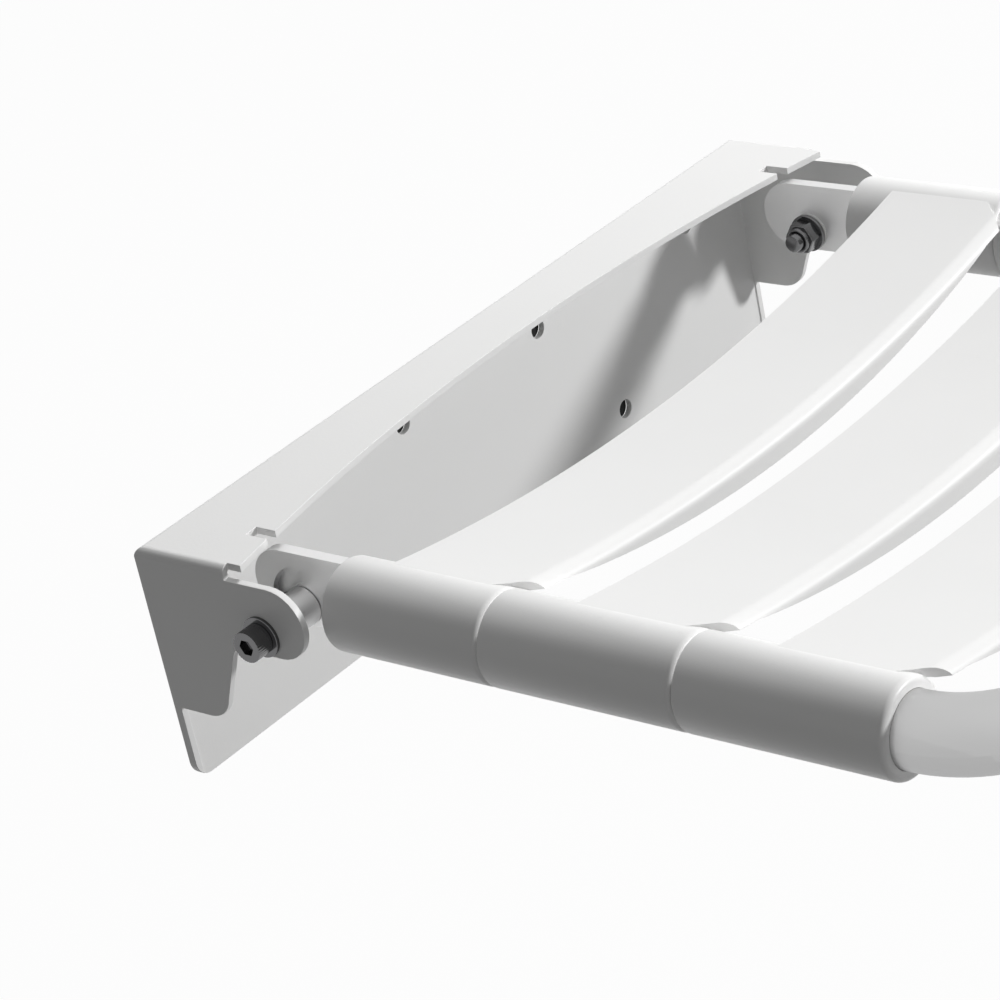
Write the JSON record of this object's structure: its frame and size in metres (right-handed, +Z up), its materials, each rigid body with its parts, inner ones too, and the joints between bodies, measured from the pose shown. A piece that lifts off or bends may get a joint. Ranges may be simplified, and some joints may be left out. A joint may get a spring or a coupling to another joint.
{
  "type": "fold down wall seat",
  "caption": "Wall seat that folds up: a bent sheet bracket carries a U shaped tube frame on two pivots, with sagging moulded slats sleeved on the tube.",
  "frame": {"origin": "middle of the bracket's back plate, on its wall face", "axes": "+X along the wall, +Y into the wall, so the seat points along -Y, +Z up"},
  "size_m": [0.4192, 0.395, 0.105],
  "materials": {
    "coated_sheet": "satin powder coat",
    "seat_plastic": "fine satin",
    "frame_metal": "fine satin",
    "fastener_steel": "bright",
    "bush_plastic": "plain"
  },
  "bodies": {
    "bracket": {"wall_bracket": "coated_sheet", "stop_pin_left": "fastener_steel", "stop_pin_right": "fastener_steel", "pivot_bolt_left": "fastener_steel", "pivot_bolt_right": "fastener_steel", "outer_washer_left": "fastener_steel", "outer_washer_right": "fastener_steel", "spacer_tube_left": "frame_metal", "spacer_tube_right": "frame_metal", "inner_washer_left": "fastener_steel", "inner_washer_right": "fastener_steel", "lock_nut_left": "fastener_steel", "lock_nut_right": "fastener_steel"},
    "seat": {"seat_tube": "frame_metal", "lug_left": "frame_metal", "lug_right": "frame_metal", "pivot_bush_left": "bush_plastic", "pivot_bush_right": "bush_plastic", "lug_pin_left": "fastener_steel", "lug_pin_right": "fastener_steel", "slat_rear": "seat_plastic", "slat_middle": "seat_plastic", "slat_front": "seat_plastic", "slat_screws_rear": "fastener_steel", "slat_screws_middle": "fastener_steel", "slat_screws_front": "fastener_steel"}
  },
  "joints": [
    {"name": "seat_fold", "type": "hinge", "parent": "bracket", "child": "seat", "pos_m": [0, -0.061, 0.0257], "axis": [-1, 0, 0], "range_deg": [0, 90]}
  ]
}
